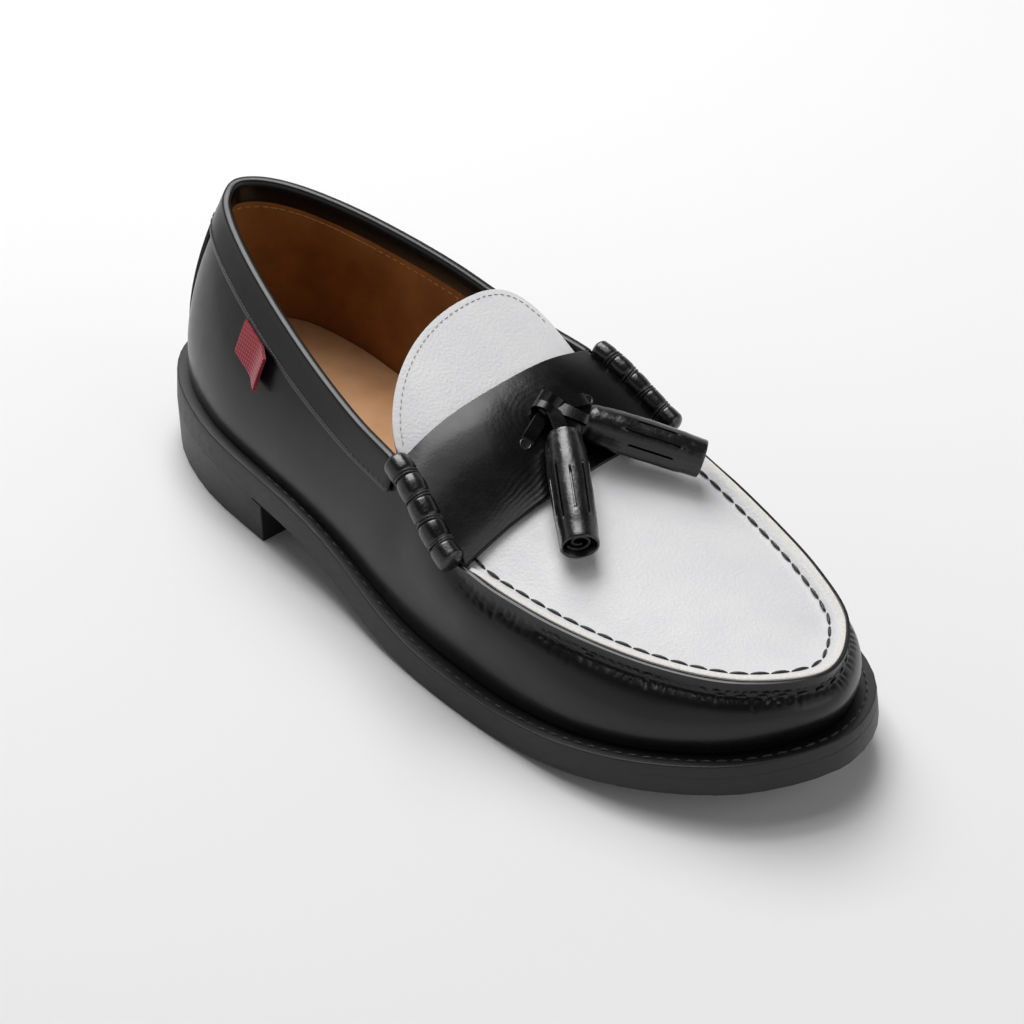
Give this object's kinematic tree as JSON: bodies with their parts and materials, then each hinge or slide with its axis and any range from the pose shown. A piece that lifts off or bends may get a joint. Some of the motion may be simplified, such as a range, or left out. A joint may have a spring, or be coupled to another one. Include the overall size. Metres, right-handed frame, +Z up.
{
  "type": "tassel loafer",
  "caption": "Right slip-on dress shoe with a raised apron seam, a round tongue, a saddle strap bound over the seam, rolled tassels and a low heel.",
  "frame": {"origin": "on the floor, under the middle of the whole shoe's box", "axes": "+X towards the toe, +Y towards the big-toe side, +Z up"},
  "size_m": [0.2958, 0.1082, 0.0891],
  "materials": {
    "black_leather": "polished, semi-gloss",
    "white_leather": "smooth, satin",
    "tan_leather": "natural, matte",
    "sole_black": "matte edge finish",
    "red_fabric": "woven"
  },
  "bodies": {
    "root": {"outsole": "sole_black", "heel": "sole_black", "welt": "sole_black", "insole": "tan_leather", "upper": "black_leather", "plug": "white_leather", "tongue": "white_leather", "saddle_strap": "black_leather", "collar_band": "black_leather", "back_stay": "black_leather", "side_tab": "red_fabric", "roll_outer": "black_leather", "roll_inner": "black_leather", "tassel_outer": "black_leather", "tassel_inner": "black_leather", "tassel_lace": "black_leather"}
  },
  "joints": []
}
